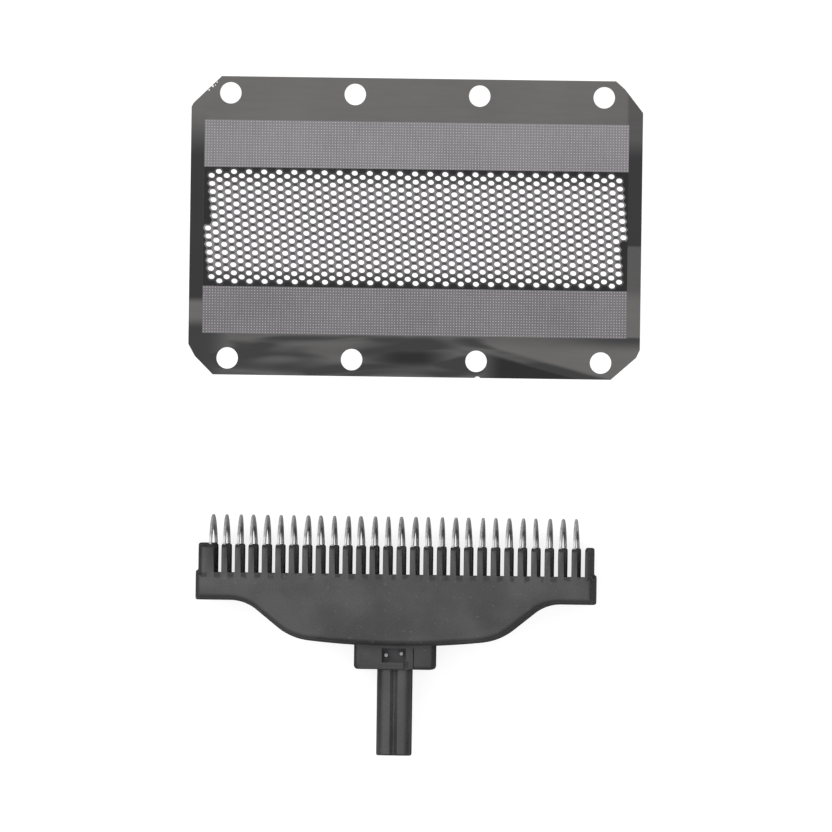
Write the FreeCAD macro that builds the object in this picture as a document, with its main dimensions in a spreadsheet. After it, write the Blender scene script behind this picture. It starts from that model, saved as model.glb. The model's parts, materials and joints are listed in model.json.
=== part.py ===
import FreeCAD, Part
import math
import os

import Sketcher

# Foil and cutter of a foil shaver's head, lying flat side by side.
# +X runs along the comb, +Y from the drive stem to the blade tips, +Z up from the surface they lie on.
# The cutter is a moulded comb that holds one thin steel arch in each tooth. The foil is one
# perforated sheet that goes over the arches when the head is put together.

doc = FreeCAD.newDocument("shaver_foil_head")

# Driving sizes in millimetres, angles in degrees
SIZES = {
    # foil sheet
    "foil_length": 45.2,
    "foil_width": 29.85,
    "foil_thickness": 0.08,
    "corner_cut": 2.8,
    "pin_hole_diameter": 2.15,
    "pin_hole_count": 4,
    "pin_hole_spacing": 12.46,
    "pin_edge_distance": 1.665,
    "band_margin": 1.35,
    "band_width": 4.5,
    "band_offset": 8.4,
    "band_recess": 0.02,
    # perforated field of the foil
    "field_margin": 1.4,
    "field_width": 11.3,
    "column_spacing": 1.52,
    "hole_spacing": 1.63,
    "column_lean": 5.2,
    "open_share": 0.77,
    # arched blades
    "blade_count": 28,
    "blade_pitch": 1.344,
    "blade_thickness": 0.22,
    "blade_radius": 4.4,
    "ring_width": 1.15,
    "blade_rise": 2.85,
    "tang_width": 0.8,
    "tang_length": 2.2,
    "tang_clearance": 0.01,
    # comb and body of the carrier
    "slot_width": 0.744,
    "slot_depth": 2.95,
    "left_block": 1.70,
    "right_block": 0.72,
    "side_margin": 0.2,
    "inner_skin": 0.3,
    "web_height": 2.75,
    "foot_height": 2.9,
    "foot_step": 0.25,
    "belly_drop": 4.4,
    "shoulder_reach": 16.5,
    "shoulder_slope": 39.0,
    "shoulder_radius": 4.2,
    "bend_radius": 6.0,
    "belly_radius": 80.0,
    "edge_bevel": 0.2,
    "tooth_bevel": 0.45,
    # collar and drive stem of the carrier
    "collar_width": 8.0,
    "collar_height": 2.3,
    "collar_depth": 6.0,
    "stem_width": 3.45,
    "stem_length": 8.6,
    "stem_depth": 4.0,
    "stem_round": 0.5,
    "groove_width": 0.6,
    "groove_depth": 0.5,
    "window_width": 2.4,
    "window_height": 1.4,
    "window_depth": 1.0,
    "window_gap": 0.2,
    "socket_diameter": 2.0,
    "socket_depth": 7.0,
    # how the two pieces lie
    "laying_gap": 13.95,
    "cutter_shift": 1.25,
}

sheet = doc.addObject("Spreadsheet::Sheet", "Sizes")
for row, (name, number) in enumerate(SIZES.items(), start=1):
    cell = "A%d" % row
    sheet.set(cell, str(number))
    sheet.setAlias(cell, name)
doc.recompute()


# Two places closer than this count as one, and a pocket takes away more than the least cut
SAME_PLACE = 1e-4
LEAST_CUT = 1e-4


def size(name):
    return float(sheet.get(name))


# Places that more than one piece shares, as expressions of the sheet
TOOTH = "(Sizes.blade_pitch - Sizes.slot_width)"
SLOTTED = "(Sizes.blade_count * Sizes.blade_pitch - %s)" % TOOTH
COMB = "(Sizes.left_block + %s + Sizes.right_block)" % SLOTTED
SLOTS_LEFT = "(Sizes.left_block - %s / 2)" % COMB
FIRST_BLADE = "(%s - %s / 2)" % (SLOTS_LEFT, TOOTH)
HALF_DEPTH = "(Sizes.blade_radius + Sizes.side_margin)"
ARCH_LEVEL = "(Sizes.slot_depth + Sizes.blade_rise - Sizes.blade_radius)"
OUTER_FOOT = "sqrt(Sizes.blade_radius ^ 2 - (Sizes.blade_radius - Sizes.blade_rise) ^ 2)"
INNER_FOOT = (
    "sqrt((Sizes.blade_radius - Sizes.ring_width) ^ 2"
    " - (Sizes.blade_radius - Sizes.blade_rise) ^ 2)"
)
LEG_REACH = "((%s + %s) / 2)" % (OUTER_FOOT, INNER_FOOT)
TANG_INNER = "(%s - Sizes.tang_width / 2)" % LEG_REACH
TANG_OUTER = "(%s + Sizes.tang_width / 2)" % LEG_REACH
BELLY_LEVEL = "(-Sizes.web_height - Sizes.belly_drop)"
COLLAR_LEVEL = "(%s - Sizes.collar_height)" % BELLY_LEVEL
STEM_LEVEL = "(%s - Sizes.stem_length)" % COLLAR_LEVEL
TIP_LEVEL = "(Sizes.slot_depth + Sizes.blade_rise)"
SPREAD = "(Sizes.foil_width + Sizes.laying_gap + %s - %s)" % (TIP_LEVEL, STEM_LEVEL)


# Helpers for bodies and sketches
def origin_plane(body, role):
    for feature in body.Origin.OriginFeatures:
        if feature.Role == role:
            return feature
    raise RuntimeError("no plane " + role)


def new_sketch(body, name, role):
    sketch = body.newObject("Sketcher::SketchObject", name)
    sketch.AttachmentSupport = [(origin_plane(body, role), "")]
    sketch.MapMode = "FlatFace"
    return sketch


def bind(sketch, kind, places, number, expression):
    index = sketch.addConstraint(Sketcher.Constraint(kind, *places, number))
    sketch.setExpression("Constraints[%d]" % index, expression)


def pin_point(sketch, line, end, across, along):
    point = sketch.getPoint(line, end)
    bind(sketch, "DistanceX", (-1, 1, line, end), point.x, across)
    bind(sketch, "DistanceY", (-1, 1, line, end), point.y, along)


def outline(sketch, corners):
    """Closed outline of straight lines, each corner given by two expressions."""
    count = len(corners)
    turns = [2 * math.pi * step / count for step in range(count)]
    starts = [FreeCAD.Vector(math.cos(turn), math.sin(turn), 0) for turn in turns]
    lines = []
    for step in range(count):
        segment = Part.LineSegment(starts[step], starts[(step + 1) % count])
        lines.append(sketch.addGeometry(segment))
    for step in range(count):
        following = lines[(step + 1) % count]
        sketch.addConstraint(Sketcher.Constraint("Coincident", lines[step], 2, following, 1))
    for line, (across, along) in zip(lines, corners):
        pin_point(sketch, line, 1, across, along)


def rectangle(sketch, left, right, low, high):
    outline(sketch, [(left, low), (right, low), (right, high), (left, high)])


def pad(body, name, sketch, length):
    feature = body.newObject("PartDesign::Pad", name)
    feature.Profile = sketch
    feature.setExpression("Length", length)
    sketch.Visibility = False
    return feature


def middle_pad(body, name, sketch, length):
    feature = pad(body, name, sketch, length)
    feature.SideType = "Symmetric"
    return feature


def pocket(body, name, sketch, length):
    """Pocket of one length that has to take material away."""
    most_left = body.Shape.Volume - LEAST_CUT
    feature = body.newObject("PartDesign::Pocket", name)
    feature.Profile = sketch
    feature.setExpression("Length", length)
    doc.recompute()
    if body.Shape.Volume > most_left:
        feature.Reversed = True
        doc.recompute()
    if body.Shape.Volume > most_left:
        raise RuntimeError("pocket cuts nothing: " + name)
    sketch.Visibility = False
    return feature


def middle_pocket(body, name, sketch, length):
    """Pocket that reaches the same length to both sides of its sketch."""
    doc.recompute()
    feature = pocket(body, name, sketch, length)
    feature.SideType = "Symmetric"
    return feature


def through_pocket(body, name, sketch):
    feature = body.newObject("PartDesign::Pocket", name)
    feature.Profile = sketch
    feature.SideType = "Symmetric"
    feature.Type = "ThroughAll"
    sketch.Visibility = False
    return feature


def repeat(body, name, feature, sketch, spacing, count):
    """Row of copies along +X."""
    pattern = body.newObject("PartDesign::LinearPattern", name)
    pattern.Originals = [feature]
    pattern.Direction = (sketch, ["H_Axis"])
    pattern.Mode = "Spacing"
    pattern.setExpression("Offset", spacing)
    pattern.setExpression("Occurrences", count)
    body.Tip = pattern


def dress_edges(body, kind, name, measure, amount, chosen):
    """Fillet or chamfer on every edge of the body that the given test picks."""
    doc.recompute()
    base = body.Tip
    names = []
    for number, edge in enumerate(base.Shape.Edges, start=1):
        if chosen(edge.BoundBox):
            names.append("Edge%d" % number)
    feature = body.newObject("PartDesign::" + kind, name)
    feature.Base = (base, names)
    feature.setExpression(measure, amount)
    doc.recompute()


def bevel_edges(body, name, amount, chosen):
    dress_edges(body, "Chamfer", name, "Size", amount, chosen)


def round_edges(body, name, amount, chosen):
    dress_edges(body, "Fillet", name, "Radius", amount, chosen)


def near(one, other):
    return abs(one - other) < SAME_PLACE


# Foil: one thin sheet with two rows of pin holes, two etched bands and a perforated field
def make_foil_sheet():
    body = doc.addObject("PartDesign::Body", "FoilSheet")
    half_length = "Sizes.foil_length / 2"
    half_width = "Sizes.foil_width / 2"
    cut_length = "Sizes.foil_length / 2 - Sizes.corner_cut"
    cut_width = "Sizes.foil_width / 2 - Sizes.corner_cut"
    blank = new_sketch(body, "FoilOutline", "XY_Plane")
    outline(
        blank,
        [
            ("-(%s)" % cut_length, "-(%s)" % half_width),
            (cut_length, "-(%s)" % half_width),
            (half_length, "-(%s)" % cut_width),
            (half_length, cut_width),
            (cut_length, half_width),
            ("-(%s)" % cut_length, half_width),
            ("-(%s)" % half_length, cut_width),
            ("-(%s)" % half_length, "-(%s)" % cut_width),
        ],
    )
    pad(body, "FoilBlank", blank, "Sizes.foil_thickness")
    doc.recompute()

    # The bands are etched thinner from the upper side
    bands = new_sketch(body, "BandOutlines", "XY_Plane")
    bands.setExpression("AttachmentOffset.Base.z", "Sizes.foil_thickness")
    half_band = "(%s - Sizes.band_margin)" % half_length
    for side in (1, -1):
        low = "%d * (Sizes.band_offset) - Sizes.band_width / 2" % side
        high = "%d * (Sizes.band_offset) + Sizes.band_width / 2" % side
        rectangle(bands, "-%s" % half_band, half_band, low, high)
    pocket(body, "EtchedBands", bands, "Sizes.band_recess")

    # Four pin holes along each long edge
    first_hole = new_sketch(body, "PinHoles", "XY_Plane")
    first_place = "(1 - Sizes.pin_hole_count) / 2 * Sizes.pin_hole_spacing"
    row_place = "(%s - Sizes.pin_edge_distance)" % half_width
    for side in (1, -1):
        circle = Part.Circle(FreeCAD.Vector(-1, side, 0), FreeCAD.Vector(0, 0, 1), 1)
        ring = first_hole.addGeometry(circle)
        pin_point(first_hole, ring, 3, first_place, "%d * %s" % (side, row_place))
        bind(first_hole, "Diameter", (ring,), 2, "Sizes.pin_hole_diameter")
    holes = through_pocket(body, "FirstPinHoles", first_hole)
    repeat(body, "PinHoleRows", holes, first_hole, "Sizes.pin_hole_spacing", "Sizes.pin_hole_count")
    return body


def make_perforation():
    """Hexagonal punches in staggered columns that lean a little, cut off at the field's ends.

    The real foil has about 790 holes, in columns 0.76 mm apart with 0.81 mm from hole to hole.
    The lattice here is about twice as coarse, with the same stagger, lean and share of open area.
    """
    step = size("column_spacing")
    pitch = size("hole_spacing")
    lean = math.tan(math.radians(size("column_lean")))
    share = size("open_share")
    height = 3 * size("foil_thickness")
    waist = share * (step / 2 + pitch ** 2 / (8 * step))
    shoulder = share * (step / 2 - pitch ** 2 / (8 * step))
    rise = share * pitch / 2
    reach = size("foil_length") / 2 - size("field_margin") - waist
    climb = size("field_width") / 2 - rise
    corners = [(waist, 0), (shoulder, rise), (-shoulder, rise)]
    corners += [(-waist, 0), (-shoulder, -rise), (shoulder, -rise)]
    punches = []
    columns = int(reach / step) + 2
    rows = int(climb / pitch) + 2
    for column in range(-columns, columns + 1):
        for row in range(-rows, rows + 1):
            along = (row + 0.5 * (column % 2) - 0.25) * pitch
            across = column * step - along * lean
            if abs(across) > reach or abs(along) > climb:
                continue
            points = [FreeCAD.Vector(across + x, along + y, -height / 3) for x, y in corners]
            face = Part.Face(Part.makePolygon(points + points[:1]))
            punches.append(face.extrude(FreeCAD.Vector(0, 0, height)))
    feature = doc.addObject("Part::Feature", "Perforation")
    feature.Shape = Part.makeCompound(punches)
    return feature


def make_foil():
    foil = doc.addObject("Part::Cut", "Foil")
    foil.Label = "foil"
    foil.Base = make_foil_sheet()
    foil.Tool = make_perforation()
    foil.Refine = False
    foil.setExpression("Placement.Base.y", "(%s - Sizes.foil_width) / 2" % SPREAD)
    return foil


# Blade carrier: one moulding, drawn from the bottom of the comb's slots and the middle of its depth
def underside_geometry():
    """Start points for the curved underside: shoulder, slope, bend and belly, all tangent."""
    slope = math.radians(size("shoulder_slope"))
    shoulder = size("shoulder_radius")
    bend = size("bend_radius")
    belly = size("belly_radius")
    reach = size("shoulder_reach")
    drop = size("belly_drop")
    under = -size("web_height")
    turn = belly * math.cos(slope) - bend - shoulder * (1 - math.cos(slope))
    turn = (turn - drop * math.cos(slope) + reach * math.sin(slope)) / (belly - bend)
    end = slope - math.acos(turn)
    shoulder_centre = FreeCAD.Vector(reach, under - shoulder, 0)
    belly_centre = FreeCAD.Vector(0, under - drop + belly, 0)
    bend_centre = belly_centre + FreeCAD.Vector(math.sin(end), -math.cos(end), 0) * (belly - bend)
    normal = FreeCAD.Vector(math.sin(slope), -math.cos(slope), 0)
    axis = FreeCAD.Vector(0, 0, 1)
    quarter = math.pi / 2
    return (
        Part.ArcOfCircle(Part.Circle(shoulder_centre, axis, shoulder), quarter, quarter + slope),
        Part.LineSegment(bend_centre + normal * bend, shoulder_centre - normal * shoulder),
        Part.ArcOfCircle(Part.Circle(bend_centre, axis, bend), end - quarter, slope - quarter),
        Part.ArcOfCircle(Part.Circle(belly_centre, axis, belly), -quarter, end - quarter),
    )


def body_outline(sketch):
    """Right half of the front outline, closed along the middle."""
    half_comb = size("left_block") + size("right_block")
    half_comb = (half_comb + size("blade_count") * size("blade_pitch")) / 2
    foot = half_comb + size("foot_step")
    top = size("slot_depth")
    under = -size("web_height")
    step = under + size("foot_height")
    belly = under - size("belly_drop")
    corners = [(0, belly), (0, top), (half_comb, top), (half_comb, step), (foot, step)]
    corners += [(foot, under), (size("shoulder_reach"), under)]
    points = [FreeCAD.Vector(x, y, 0) for x, y in corners]
    lines = [sketch.addGeometry(Part.LineSegment(*pair)) for pair in zip(points, points[1:])]
    for line, following in zip(lines, lines[1:]):
        sketch.addConstraint(Sketcher.Constraint("Coincident", line, 2, following, 1))
    shoulder, slope, bend, belly = [sketch.addGeometry(piece) for piece in underside_geometry()]

    half = "%s / 2" % COMB
    step_level = "Sizes.foot_height - Sizes.web_height"
    pin_point(sketch, lines[0], 1, "0", BELLY_LEVEL)
    pin_point(sketch, lines[1], 1, "0", "Sizes.slot_depth")
    pin_point(sketch, lines[2], 1, half, "Sizes.slot_depth")
    pin_point(sketch, lines[3], 1, half, step_level)
    pin_point(sketch, lines[4], 1, half + " + Sizes.foot_step", step_level)
    pin_point(sketch, lines[5], 1, half + " + Sizes.foot_step", "-Sizes.web_height")
    pin_point(sketch, lines[5], 2, "Sizes.shoulder_reach", "-Sizes.web_height")

    joins = [(lines[5], 2, shoulder, 1), (shoulder, 2, slope, 2)]
    joins += [(slope, 1, bend, 2), (bend, 1, belly, 2)]
    for places in joins:
        sketch.addConstraint(Sketcher.Constraint("Tangent", *places))
    sketch.addConstraint(Sketcher.Constraint("Coincident", belly, 1, lines[0], 1))
    sketch.addConstraint(Sketcher.Constraint("PointOnObject", belly, 3, -2))
    bind(sketch, "Radius", (shoulder,), size("shoulder_radius"), "Sizes.shoulder_radius")
    bind(sketch, "Radius", (bend,), size("bend_radius"), "Sizes.bend_radius")
    bind(sketch, "Radius", (belly,), size("belly_radius"), "Sizes.belly_radius")
    angle = math.radians(size("shoulder_slope"))
    bind(sketch, "Angle", (slope,), angle, "Sizes.shoulder_slope * 1 deg")


def make_carrier():
    body = doc.addObject("PartDesign::Body", "BladeCarrier")
    body.Label = "blade_carrier"
    add_body(body)
    add_collar_and_stem(body)
    cut_stem(body)
    cut_comb(body)
    lay_down(body, "0")
    return body


def add_body(body):
    """Body under the comb, mirrored about the stem's axis, with its front and back rims bevelled."""
    half_depth = size("blade_radius") + size("side_margin")
    top = size("slot_depth")
    front = new_sketch(body, "BodyOutline", "XY_Plane")
    body_outline(front)
    half_body = middle_pad(body, "HalfBody", front, "2 * %s" % HALF_DEPTH)
    doc.recompute()
    whole = body.newObject("PartDesign::Mirrored", "WholeBody")
    whole.Originals = [half_body]
    whole.MirrorPlane = (front, ["V_Axis"])
    body.Tip = whole

    def on_rim(box):
        return near(box.ZMin, box.ZMax) and near(abs(box.ZMin), half_depth)

    def along_top(box):
        return on_rim(box) and near(box.YMin, top)

    def below_top(box):
        return on_rim(box) and not near(box.YMin, top)

    bevel_edges(body, "ToothTops", "Sizes.tooth_bevel", along_top)
    bevel_edges(body, "BodyRims", "Sizes.edge_bevel", below_top)


def add_collar_and_stem(body):
    collar = new_sketch(body, "CollarOutline", "XY_Plane")
    half_collar = "Sizes.collar_width / 2"
    rectangle(collar, "-%s" % half_collar, half_collar, COLLAR_LEVEL, "-Sizes.web_height")
    middle_pad(body, "Collar", collar, "Sizes.collar_depth")
    stem = new_sketch(body, "StemOutline", "XY_Plane")
    half_stem = "Sizes.stem_width / 2"
    rectangle(stem, "-%s" % half_stem, half_stem, STEM_LEVEL, BELLY_LEVEL)
    middle_pad(body, "Stem", stem, "Sizes.stem_depth")
    collar_level = -size("web_height") - size("belly_drop") - size("collar_height")
    stem_level = collar_level - size("stem_length")

    def along_stem(box):
        upright = near(box.XMin, box.XMax) and near(box.ZMin, box.ZMax)
        corner = near(abs(box.XMin), size("stem_width") / 2) and near(abs(box.ZMin), size("stem_depth") / 2)
        return upright and corner and near(box.YMin, stem_level)

    def around_stem_end(box):
        return near(box.YMin, stem_level) and near(box.YMax, stem_level)

    def under_collar(box):
        level = near(box.YMin, collar_level) and near(box.YMax, collar_level)
        face = near(box.ZMin, box.ZMax) and near(abs(box.ZMin), size("collar_depth") / 2)
        end = near(box.XMin, box.XMax) and near(abs(box.XMin), size("collar_width") / 2)
        return level and (face or end)

    round_edges(body, "StemCorners", "Sizes.stem_round", along_stem)
    bevel_edges(body, "StemEnd", "Sizes.edge_bevel", around_stem_end)
    bevel_edges(body, "CollarEdges", "Sizes.edge_bevel", under_collar)


def cut_stem(body):
    """Grooves down both faces of the stem, windows at their head and the socket in the stem's end."""
    groove = new_sketch(body, "StemGrooves", "XZ_Plane")
    groove.setExpression("AttachmentOffset.Base.z", "-%s" % STEM_LEVEL)
    half_groove = "Sizes.groove_width / 2"
    floor = "(Sizes.stem_depth / 2 - Sizes.groove_depth)"
    rectangle(groove, "-%s" % half_groove, half_groove, floor, "Sizes.stem_depth")
    rectangle(groove, "-%s" % half_groove, half_groove, "-Sizes.stem_depth", "-%s" % floor)
    pocket(body, "Grooves", groove, "Sizes.stem_length")

    window = new_sketch(body, "CollarWindows", "YZ_Plane")
    low = "%s - Sizes.window_gap - Sizes.window_height" % BELLY_LEVEL
    high = "%s - Sizes.window_gap" % BELLY_LEVEL
    floor = "(Sizes.collar_depth / 2 - Sizes.window_depth)"
    rectangle(window, low, high, floor, "Sizes.collar_depth")
    rectangle(window, low, high, "-Sizes.collar_depth", "-%s" % floor)
    middle_pocket(body, "Windows", window, "Sizes.window_width")

    socket = new_sketch(body, "SocketOutline", "XZ_Plane")
    socket.setExpression("AttachmentOffset.Base.z", "-%s" % STEM_LEVEL)
    ring = socket.addGeometry(Part.Circle(FreeCAD.Vector(1, 1, 0), FreeCAD.Vector(0, 0, 1), 1))
    pin_point(socket, ring, 3, "0", "0")
    bind(socket, "Diameter", (ring,), 2, "Sizes.socket_diameter")
    pocket(body, "Socket", socket, "Sizes.socket_depth")


def cut_comb(body):
    """Trough between the two rows of teeth, slots that part the teeth, and pockets for the tangs."""
    above = TIP_LEVEL
    trough = new_sketch(body, "TroughOutline", "XY_Plane")
    rectangle(trough, SLOTS_LEFT, "%s + %s" % (SLOTS_LEFT, SLOTTED), "0", above)
    middle_pocket(body, "Trough", trough, "2 * (%s - Sizes.inner_skin)" % TANG_INNER)

    slot = new_sketch(body, "SlotOutline", "XY_Plane")
    rectangle(slot, SLOTS_LEFT, "%s + Sizes.slot_width" % SLOTS_LEFT, "0", above)
    first_slot = through_pocket(body, "FirstSlot", slot)
    repeat(body, "Slots", first_slot, slot, "Sizes.blade_pitch", "Sizes.blade_count")

    seat = new_sketch(body, "TangPockets", "XZ_Plane")
    seat.setExpression("AttachmentOffset.Base.z", "-Sizes.slot_depth")
    half_seat = "(Sizes.blade_thickness / 2 + Sizes.tang_clearance)"
    left = "%s - %s" % (FIRST_BLADE, half_seat)
    right = "%s + %s" % (FIRST_BLADE, half_seat)
    near_side = "(%s - Sizes.tang_clearance)" % TANG_INNER
    far_side = "(%s + Sizes.tang_clearance)" % TANG_OUTER
    rectangle(seat, left, right, near_side, far_side)
    rectangle(seat, left, right, "-%s" % far_side, "-%s" % near_side)
    doc.recompute()
    first_seat = pocket(body, "FirstTangPockets", seat, "Sizes.tang_length + Sizes.tang_clearance")
    repeat(body, "TangPocketRow", first_seat, seat, "Sizes.blade_pitch", "Sizes.blade_count")


def lay_down(piece, along):
    """Set a piece of the cutter at its place on the surface, with the given distance along the comb."""
    piece.setExpression("Placement.Base.x", "%s - Sizes.cutter_shift" % along)
    piece.setExpression("Placement.Base.y", "-%s / 2 - %s" % (SPREAD, STEM_LEVEL))
    piece.setExpression("Placement.Base.z", HALF_DEPTH)


# Blades: thin steel arches, each standing on a pair of teeth with its tangs sunk into them
def blade_outline(sketch):
    radius = size("blade_radius")
    inner = radius - size("ring_width")
    top = size("slot_depth")
    centre = FreeCAD.Vector(top + size("blade_rise") - radius, 0, 0)
    axis = FreeCAD.Vector(0, 0, 1)
    turn = math.acos((top - centre.x) / radius)
    arch = sketch.addGeometry(Part.ArcOfCircle(Part.Circle(centre, axis, radius), -turn, turn))
    turn = math.acos((top - centre.x) / inner)
    hollow = sketch.addGeometry(Part.ArcOfCircle(Part.Circle(centre, axis, inner), -turn, turn))
    bottom = "(Sizes.slot_depth - Sizes.tang_length)"
    pin_point(sketch, arch, 3, ARCH_LEVEL, "0")
    bind(sketch, "Radius", (arch,), radius, "Sizes.blade_radius")
    pin_point(sketch, hollow, 3, ARCH_LEVEL, "0")
    bind(sketch, "Radius", (hollow,), inner, "Sizes.blade_radius - Sizes.ring_width")
    for side, end in ((1, 2), (-1, 1)):
        outer = sketch.getPoint(arch, end)
        inside = sketch.getPoint(hollow, end)
        reach = (outer.y + inside.y) / 2
        half_tang = side * size("tang_width") / 2
        low = top - size("tang_length")
        far, near_by = reach + half_tang, reach - half_tang
        corners = [(top, outer.y), (top, far), (low, far), (low, near_by), (top, near_by), (top, inside.y)]
        points = [FreeCAD.Vector(x, y, 0) for x, y in corners]
        lines = [sketch.addGeometry(Part.LineSegment(*pair)) for pair in zip(points, points[1:])]
        for line, following in zip(lines, lines[1:]):
            sketch.addConstraint(Sketcher.Constraint("Coincident", line, 2, following, 1))
        sketch.addConstraint(Sketcher.Constraint("Coincident", lines[0], 1, arch, end))
        sketch.addConstraint(Sketcher.Constraint("Coincident", lines[-1], 2, hollow, end))
        bind(sketch, "DistanceX", (-1, 1, lines[0], 1), top, "Sizes.slot_depth")
        bind(sketch, "DistanceX", (-1, 1, lines[-1], 2), top, "Sizes.slot_depth")
        pin_point(sketch, lines[1], 1, "Sizes.slot_depth", "%d * %s" % (side, TANG_OUTER))
        pin_point(sketch, lines[2], 1, bottom, "%d * %s" % (side, TANG_OUTER))
        pin_point(sketch, lines[3], 1, bottom, "%d * %s" % (side, TANG_INNER))
        pin_point(sketch, lines[4], 1, "Sizes.slot_depth", "%d * %s" % (side, TANG_INNER))


def make_blade(number):
    body = doc.addObject("PartDesign::Body", "Blade%02d" % number)
    body.Label = "blade_%02d" % number
    profile = new_sketch(body, "BladeOutline%02d" % number, "YZ_Plane")
    blade_outline(profile)
    middle_pad(body, "BladeSheet%02d" % number, profile, "Sizes.blade_thickness")
    lay_down(body, "%s + %d * Sizes.blade_pitch" % (FIRST_BLADE, number - 1))
    return body


pieces = [make_foil(), make_carrier()]
for number in range(1, int(size("blade_count")) + 1):
    pieces.append(make_blade(number))
doc.recompute()

# Every object has to be sound before anything is written
for item in doc.Objects:
    if "Invalid" in item.State or "Error" in item.State:
        raise RuntimeError("failed object: " + item.Name)
for piece in pieces:
    if piece.Shape.isNull() or not piece.Shape.isValid():
        raise RuntimeError("bad shape: " + piece.Label)

os.makedirs("parts", exist_ok=True)
for piece in pieces:
    piece.Shape.exportStep("parts/%s.step" % piece.Label)
    print("%-16s %10.3f mm3" % (piece.Label, piece.Shape.Volume))
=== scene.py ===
import json
import math

import bmesh
import bpy
from mathutils import Matrix, Vector

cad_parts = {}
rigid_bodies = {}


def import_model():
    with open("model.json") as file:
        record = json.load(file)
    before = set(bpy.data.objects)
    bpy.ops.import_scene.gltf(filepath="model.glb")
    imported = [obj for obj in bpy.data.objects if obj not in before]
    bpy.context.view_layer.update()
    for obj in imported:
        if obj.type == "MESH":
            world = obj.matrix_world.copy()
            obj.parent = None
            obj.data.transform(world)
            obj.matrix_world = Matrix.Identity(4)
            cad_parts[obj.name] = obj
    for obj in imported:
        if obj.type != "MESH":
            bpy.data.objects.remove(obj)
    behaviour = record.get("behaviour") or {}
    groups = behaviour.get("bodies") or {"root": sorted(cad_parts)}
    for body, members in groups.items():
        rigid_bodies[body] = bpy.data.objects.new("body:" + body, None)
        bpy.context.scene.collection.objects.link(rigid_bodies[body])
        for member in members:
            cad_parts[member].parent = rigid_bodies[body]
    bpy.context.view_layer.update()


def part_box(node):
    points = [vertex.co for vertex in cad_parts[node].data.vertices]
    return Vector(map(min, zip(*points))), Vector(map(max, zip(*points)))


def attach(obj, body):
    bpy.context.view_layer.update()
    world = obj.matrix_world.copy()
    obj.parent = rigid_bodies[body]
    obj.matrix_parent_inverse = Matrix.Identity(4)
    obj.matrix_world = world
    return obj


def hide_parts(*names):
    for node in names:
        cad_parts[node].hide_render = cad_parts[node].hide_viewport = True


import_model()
MM = 0.001


# Table, daylight and camera. The pieces lie on a white table under a broad soft light from overhead,
# with a thin bright horizon all round. The camera looks down from far off, a little from the right.
floor_level = -0.02 * MM
floor_size = 12.0
floor_colour = (0.42, 0.42, 0.425, 1)
floor_glow = 0.80
sky_strength = 1.5
sky_stops = ((0.0, 0.70), (0.03, 0.70), (0.05, 0.15), (0.45, 0.22), (0.80, 0.62), (1.0, 1.0))
lamp_place = Vector((-0.30, 0.22, 0.62))
lamp_size = 0.50
lamp_energy = 0.9
view_width = 83.2 * MM
view_middle = Vector((0.293, 0.092, 0)) * MM
view_distance = 3.0
view_tilt = math.radians(2.55)
view_roll = math.radians(0.8)
sensor_width = 36

bpy.ops.mesh.primitive_plane_add(size=floor_size, location=(0, 0, floor_level))
floor = bpy.context.object
floor.name = "table"

table_paint = bpy.data.materials.new("white_table")
table_paint.use_nodes = True
nodes, links = table_paint.node_tree.nodes, table_paint.node_tree.links
nodes.clear()
paint = nodes.new("ShaderNodeBsdfDiffuse")
paint.inputs["Color"].default_value = floor_colour
glow = nodes.new("ShaderNodeEmission")
glow.inputs["Color"].default_value = (1, 1, 1, 1)
rays = nodes.new("ShaderNodeLightPath")
strength = nodes.new("ShaderNodeMath")
strength.operation = "MULTIPLY"
strength.inputs[1].default_value = floor_glow
links.new(rays.outputs["Is Camera Ray"], strength.inputs[0])
links.new(strength.outputs[0], glow.inputs["Strength"])
both = nodes.new("ShaderNodeAddShader")
links.new(paint.outputs[0], both.inputs[0])
links.new(glow.outputs[0], both.inputs[1])
surface = nodes.new("ShaderNodeOutputMaterial")
links.new(both.outputs[0], surface.inputs["Surface"])
floor.data.materials.append(table_paint)

world = bpy.data.worlds.new("soft_sky")
world.use_nodes = True
bpy.context.scene.world = world
nodes, links = world.node_tree.nodes, world.node_tree.links
nodes.clear()
place = nodes.new("ShaderNodeTexCoord")
parts = nodes.new("ShaderNodeSeparateXYZ")
links.new(place.outputs["Generated"], parts.inputs[0])
ramp = nodes.new("ShaderNodeValToRGB")
for number, (height, level) in enumerate(sky_stops):
    stop = ramp.color_ramp.elements[number] if number < 2 else ramp.color_ramp.elements.new(height)
    stop.position = height
    stop.color = (level, level, level, 1)
links.new(parts.outputs["Z"], ramp.inputs[0])
sky = nodes.new("ShaderNodeBackground")
sky.inputs["Strength"].default_value = sky_strength
links.new(ramp.outputs["Color"], sky.inputs["Color"])
surface = nodes.new("ShaderNodeOutputWorld")
links.new(sky.outputs[0], surface.inputs["Surface"])

lamp_data = bpy.data.lights.new("window_light", "AREA")
lamp_data.shape = "DISK"
lamp_data.size = lamp_size
lamp_data.energy = lamp_energy
lamp = bpy.data.objects.new("window_light", lamp_data)
bpy.context.scene.collection.objects.link(lamp)
lamp.location = lamp_place
lamp.rotation_euler = lamp_place.to_track_quat("Z", "Y").to_euler()

camera_data = bpy.data.cameras.new("camera")
camera_data.sensor_width = sensor_width
camera_data.lens = sensor_width * view_distance / view_width
camera_data.clip_end = 2 * view_distance
camera = bpy.data.objects.new("camera", camera_data)
bpy.context.scene.collection.objects.link(camera)
aim = Matrix.Rotation(view_tilt, 4, "Y") @ Matrix.Rotation(view_roll, 4, "Z")
camera.matrix_world = Matrix.Translation(view_middle) @ aim @ Matrix.Translation((0, 0, view_distance))
bpy.context.scene.camera = camera
bpy.context.scene.view_settings.view_transform = "Standard"


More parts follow.
